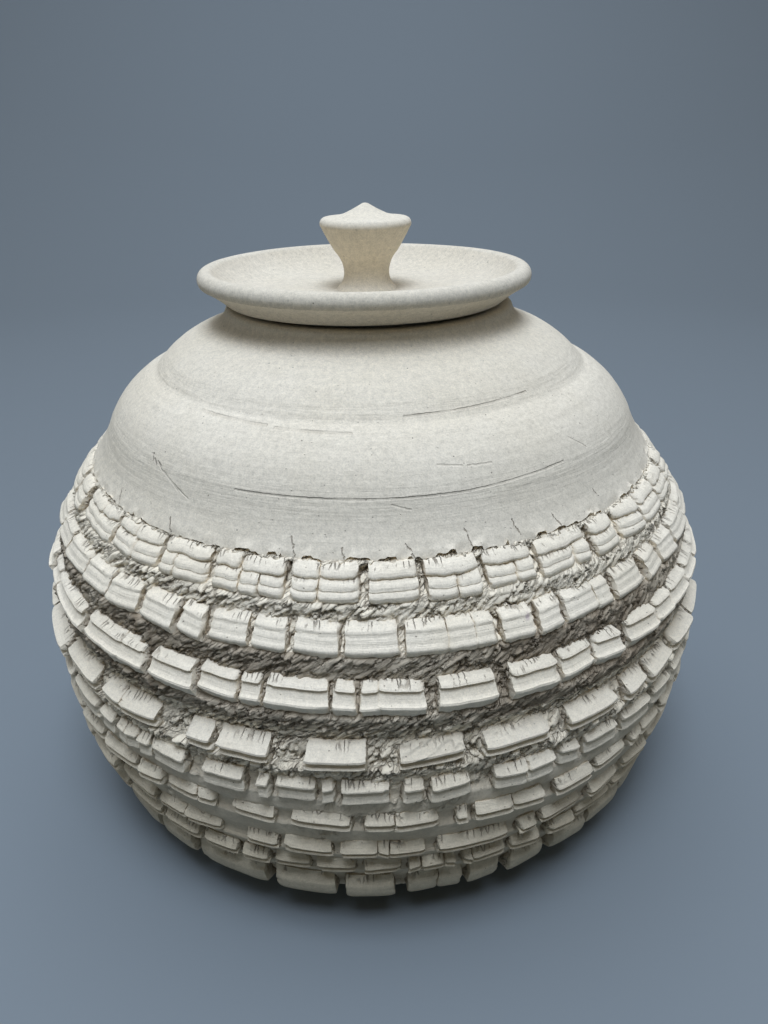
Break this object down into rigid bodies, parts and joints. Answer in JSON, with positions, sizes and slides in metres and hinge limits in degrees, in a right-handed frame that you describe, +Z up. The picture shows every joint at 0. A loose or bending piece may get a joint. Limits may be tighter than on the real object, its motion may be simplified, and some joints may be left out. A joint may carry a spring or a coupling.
{
  "type": "lidded jar",
  "caption": "Squat round stoneware jar with a smooth stepped shoulder, a belly ringed by broken clay ridges, and a dished lid with a waisted knob.",
  "frame": {"origin": "on the turning axis, at the table under the foot ring", "axes": "+Z up along the turning axis, -Y towards the viewer of the picture, +X to the right"},
  "size_m": [0.221, 0.2216, 0.1897],
  "materials": {
    "stoneware": "matte, unglazed, off-white, with fine dark specks"
  },
  "bodies": {
    "jar": {"jar_body": "stoneware"},
    "lid": {"lid_dish": "stoneware", "lid_seat_ring": "stoneware", "lid_knob": "stoneware"}
  },
  "joints": [
    {"name": "lid_lift", "type": "slide", "parent": "jar", "child": "lid", "axis": [0, 0, 1], "range_m": [0, 0.12]}
  ]
}
